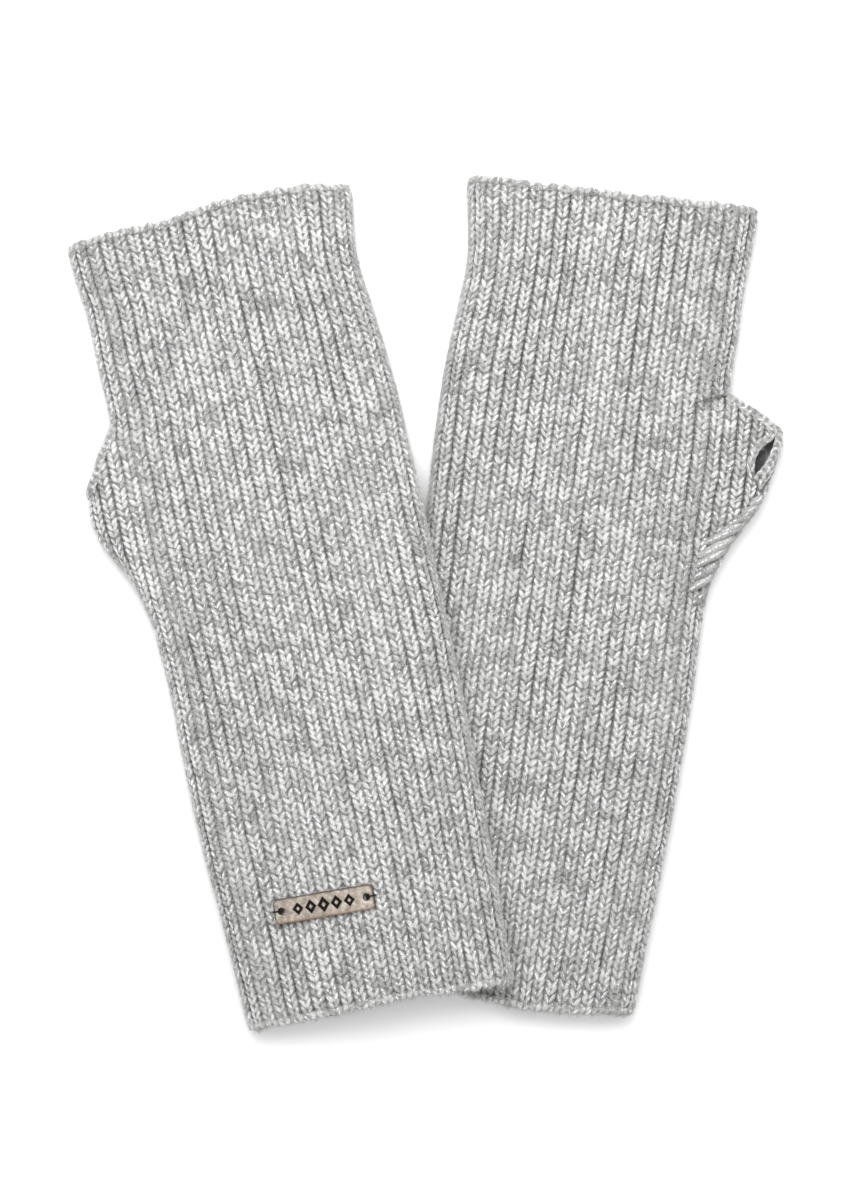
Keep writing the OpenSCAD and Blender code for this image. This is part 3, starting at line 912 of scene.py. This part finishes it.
def on_label(points):
    """Points of the label's own frame (x along it, y across it, z out of it) in the frame, in mm."""
    x, y, z = np.asarray(points, float).T
    spin, lean = math.radians(LABEL_TURN), math.radians(-LEAN[LEFT])
    x, y = x * math.cos(spin) - y * math.sin(spin), x * math.sin(spin) + y * math.cos(spin)
    axis = np.array([-math.sin(lean), -math.cos(lean), 0])
    a = math.atan(CLIMB_SLOPE)
    p = np.stack([x, y, z], -1)
    p = p * math.cos(a) + np.cross(axis, p) * math.sin(a) + np.outer(p @ axis, axis) * (1 - math.cos(a))
    turn = math.radians(LEAN[RIGHT])
    t, s = -LABEL_AT[0], LABEL_AT[1]
    cx = CUFF_AT[RIGHT][0] + t * math.cos(turn) - s * math.sin(turn)
    cy = CUFF_AT[RIGHT][1] + t * math.sin(turn) + s * math.cos(turn)
    return p + (cx, cy, THICK + float(climb_at(over_left(cx, cy))) + LABEL_CLEAR)


def plate_outline(inset):
    """The label's outline, a rectangle with rounded corners, moved in by inset."""
    r = LABEL_CORNER - inset
    x, y = LABEL_SIZE[0] / 2 - LABEL_CORNER, LABEL_SIZE[1] / 2 - LABEL_CORNER
    corners = ((x, y, 0), (-x, y, 90), (-x, -y, 180), (x, -y, 270))
    steps = [(cx, cy, math.radians(a + k * 9)) for cx, cy, a in corners for k in range(11)]
    return [(cx + r * math.cos(a), cy + r * math.sin(a)) for cx, cy, a in steps]


def hole_outline(side, radius):
    count = 28
    turn = np.arange(count) * 2 * math.pi / count
    return [(side * HOLE_PITCH / 2 + radius * math.cos(a), radius * math.sin(a)) for a in turn]


def lozenge(x, half_w, half_h):
    return [(x - half_w, 0), (x, -half_h), (x + half_w, 0), (x, half_h)]


class Plate:
    """Collects loops of points and the faces between them."""

    def __init__(self):
        self.points, self.faces = [], []

    def loop(self, outline, z):
        self.points += [(x, y, z) for x, y in outline]
        return list(range(len(self.points) - len(outline), len(self.points)))

    def wall(self, low, high):
        n = len(low)
        self.faces += [(low[i], low[(i + 1) % n], high[(i + 1) % n], high[i]) for i in range(n)]

    def fill(self, loops, up):
        """A flat face with holes; the first loop is its outer edge."""
        ids = [i for loop in loops for i in loop]
        flat = [[mathutils.Vector((*self.points[i][:2], 0)) for i in loop] for loop in loops]
        for tri in mathutils.geometry.tessellate_polygon(flat):
            a, b, c = (ids[k] for k in tri)
            pa, pb, pc = (np.array(self.points[i][:2]) for i in (a, b, c))
            turn = (pb - pa)[0] * (pc - pa)[1] - (pb - pa)[1] * (pc - pa)[0]
            self.faces.append((a, b, c) if (turn > 0) == up else (a, c, b))


def label_plate():
    """The metal label: rounded edges, countersunk sewing holes and an engraved row of lozenges."""
    thick = LABEL_SIZE[2]
    plate = Plate()
    rings = [(0.25, 0.0), (0.04, 0.12), (0.0, 0.3), (0.0, thick - 0.35), (0.09, thick - 0.13),
             (0.24, thick - 0.03), (0.45, thick)]
    loops = [plate.loop(plate_outline(inset), z) for inset, z in rings]
    for low, high in zip(loops, loops[1:]):
        plate.wall(low, high)
    top, bottom = [loops[-1]], [loops[0]]
    for side in (-1, 1):
        rings = [(HOLE_R + 0.34, thick), (HOLE_R + 0.14, thick - 0.06), (HOLE_R, thick - 0.25), (HOLE_R, 0.0)]
        holes = [plate.loop(hole_outline(side, r), z) for r, z in rings]
        for high, low in zip(holes, holes[1:]):
            plate.wall(high, low)
        top.append(holes[0])
        bottom.append(holes[-1])
    for k in range(-2, 3):
        x, w, h = LOZENGE_PITCH * k, 2.0 - 0.1 * abs(k), 2.5 - 0.25 * abs(k)
        edge = plate.loop(lozenge(x, w, h), thick)
        floor = plate.loop(lozenge(x, w - 0.14, h - 0.18), thick - ENGRAVED)
        island = plate.loop(lozenge(x, 0.42 * w, 0.42 * h), thick - ENGRAVED)
        crown = plate.loop(lozenge(x, 0.32 * w, 0.32 * h), thick - 0.02)
        plate.wall(edge, floor)
        plate.wall(island, crown)
        plate.fill([floor, island], True)
        plate.fill([crown], True)
        top.append(edge)
    plate.fill(top, True)
    plate.fill(bottom, False)

    local = np.array(plate.points)
    mesh = bpy.data.meshes.new("label_plate_metal")
    mesh.from_pydata(on_label(local) * MM, [], plate.faces)
    data = mesh.attributes.new("local", "FLOAT_VECTOR", "POINT").data
    data.foreach_set("vector", local.astype(np.float32).ravel())
    mesh.shade_smooth()
    mesh.set_sharp_from_angle(angle=math.radians(30))
    piece = new_object("label_plate_metal", mesh)
    finish_piece(piece, antique_nickel(), "label_plate")
    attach(piece, "right_glove")


def antique_nickel():
    """Satin nickel with a coppery lower edge where the plating has rubbed off, painted shade along its other
    edges, on its sides and in its holes, fine scratches, and dark filling in the engraving.
    """
    n = Nodes("antique_nickel")
    x, y, z = n.read("local")
    flat = n.vector(x, y, 0.0)
    cloud = n.noise(flat, 0.45, 4.0, 0.6)
    grain = n.noise(n.vector(n.times(x, 0.35), n.times(y, 5.0), 0.0), 2.2, 5.0, 0.7)
    spots = n.noise(flat, 3.1, 3.0, 0.7)
    tone = n.plus(n.times(cloud, 0.6), n.times(grain, 0.4))
    metal = n.ramp(
        tone, (0.33, (0.17, 0.148, 0.124)), (0.5, (0.375, 0.327, 0.277)), (0.64, (0.68, 0.61, 0.53)),
    )

    def past_core(across, size):
        return n.math("MAXIMUM", n.minus(n.math("ABSOLUTE", across), size / 2 - LABEL_CORNER), 0.0)

    # the border: painted shade, dark along its upper sides, and copper rubbed bare on the lower one
    past_x, past_y = past_core(x, LABEL_SIZE[0]), past_core(y, LABEL_SIZE[1])
    from_core = n.math("SQRT", n.plus(n.times(past_x, past_x), n.times(past_y, past_y)))
    from_edge = n.minus(LABEL_CORNER, from_core)
    from_edge = n.plus(from_edge, n.times(n.minus(spots, 0.5), 0.35))
    edge_wear_and_shade = n.ramp(from_edge, (0.3, 1.0), (0.75, 0.0))
    low = n.math("LESS_THAN", y, 1.5 - LABEL_SIZE[1] / 2)
    border = n.blend(low, (0.055, 0.046, 0.04, 1), (0.36, 0.23, 0.16, 1))
    metal = n.blend(n.times(edge_wear_and_shade, 0.85), metal, border)
    # painted shade, dark on the plate's lower sides, inside its holes and underneath
    sides = n.ramp(z, (0.35, 1.0), (0.72, 0.0))
    metal = n.blend(sides, metal, (0.055, 0.045, 0.04, 1))
    # the engraving and the specks that the tumbling left dark
    inside = n.math("LESS_THAN", n.math("ABSOLUTE", x), ENGRAVED_HALF[0])
    sunk = n.times(inside, n.math("LESS_THAN", z, LABEL_SIZE[2] - 0.05))
    middle = n.math("LESS_THAN", n.math("ABSOLUTE", y), ENGRAVED_HALF[1])
    dark = n.times(sunk, middle)
    pits = n.math("GREATER_THAN", spots, 0.66)
    dark = n.math("MAXIMUM", dark, n.times(pits, 0.45))
    metal = n.blend(dark, metal, (0.008, 0.006, 0.005, 1))
    n.set(Base_Color=metal, Metallic=n.minus(0.85, n.times(dark, 0.8)))
    n.set(Roughness=n.plus(0.36, n.times(cloud, 0.25)))
    n.set(Specular_IOR_Level=0.1)
    n.bump(n.plus(grain, n.times(spots, 0.6)), 0.00003, 0.7)
    return n.material


def sewing_thread():
    """Dark twisted thread, painted darker still as the shade inside the sewing holes."""
    n = Nodes("sewing_thread")
    u, v, _ = n.split(n.new("ShaderNodeUVMap", uv_map="knit").outputs[0])
    twist = n.math("SINE", n.times(n.plus(v, n.times(u, 0.5)), 6.283))
    fibre = n.noise(n.vector(n.times(u, 4.0), v, 0.0), 3.0, 4.0, 0.7)
    tone = n.plus(n.times(twist, 0.15), fibre)
    colour = n.ramp(
        tone, (0.3, (0.006, 0.006, 0.006)), (0.6, (0.014, 0.013, 0.012)), (0.9, (0.06, 0.057, 0.054)),
    )
    n.set(Base_Color=colour, Roughness=0.8, Specular_IOR_Level=0.1)
    n.bump(tone, 0.00006, 1.0)
    return n.material


def label_thread(side, name, material):
    """Three turns of thread through one sewing hole, round the end of the plate into the knit."""
    thick = LABEL_SIZE[2]
    hole, end = HOLE_PITCH / 2, LABEL_SIZE[0] / 2 + 0.35
    parts = Parts()
    for k, y in enumerate((-0.42, 0.1, 0.5)):
        path = [(hole - 0.25, 0.6 * y, -0.2), (hole - 0.2, 0.7 * y, 0.45 * thick),
                (hole + 0.25, y, 0.72 * thick)]
        if k == 1:
            path += [(hole + 0.9, y, thick + 0.16), (end - 0.25, 1.6 * y, thick + 0.1),
                     (end, 1.8 * y, 0.4 * thick), (end + 0.05, 1.8 * y, -0.3)]
        else:
            path += [(hole + 0.72, y, 0.5 * thick), (hole + 0.7, 0.9 * y * (1 + 0.9 * k), -0.25)]
        path = np.array(path) * (side, 1, 1)
        marks = np.arange(len(path))
        fine = smoothed(points_along(path, marks, np.linspace(0, marks[-1], 40)), 3)
        tube(parts, on_label(fine), THREAD_R, around=9, row_len=0.8, up=(0.2, 1, 0.1), relief=0.0, seed=3)
    piece = parts.piece(f"label_thread_{name}")
    finish_piece(piece, material, f"label_tie_{name}")
    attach(piece, "right_glove")


# ---- the room ----

def studio():
    """A pale floor, an even white room and two soft lamps. All sizes here are metres."""
    floor = bpy.data.meshes.new("floor")
    side = 4.0
    corners = ((-side, -side), (side, -side), (side, side), (-side, side))
    floor.from_pydata([(x, y, FLOOR_Z * MM) for x, y in corners], [], [(0, 1, 2, 3)])
    floor_piece = new_object("floor", floor)
    n = Nodes("floor")
    n.set(Base_Color=(0.95, 0.95, 0.95, 1), Roughness=0.9, Specular_IOR_Level=0.1)
    floor.materials.append(n.material)

    world = bpy.data.worlds.new("studio")
    bpy.context.scene.world = world
    world.use_nodes = True
    background = world.node_tree.nodes["Background"]
    background.inputs["Color"].default_value = (1, 1, 1, 1)
    background.inputs["Strength"].default_value = 0.86

    def softbox(name, at, size, power):
        light = bpy.data.lights.new(name, "AREA")
        light.shape = "DISK"
        light.size = size
        light.energy = power
        lamp = new_object(name, light)
        lamp.location = at
        lamp.rotation_euler = (-lamp.location).to_track_quat("-Z", "Y").to_euler()

    softbox("key", (-0.1, 0.26, 0.5), 0.45, 2.5)
    softbox("fill", (0.3, 0.5, 0.85), 1.0, 3.3)


def camera():
    """Looks straight down at the photo's framing. Its view is view_height high in the plane of the
    gloves' backs, round the point middle."""
    view = bpy.data.cameras.new("camera")
    view.lens = 100
    view.sensor_width = 36
    view_height, backs_z = 0.3627, 0.008
    middle = (0.0001, 0.0028)
    eye = new_object("camera", view)
    eye.location = (*middle, view_height * view.lens / view.sensor_width + backs_z)
    bpy.context.scene.camera = eye
    bpy.context.scene.view_settings.view_transform = "Standard"


camera()
studio()
glove(LEFT)
glove(RIGHT)
label_plate()
thread = sewing_thread()
label_thread(-1, "inner", thread)
label_thread(1, "outer", thread)
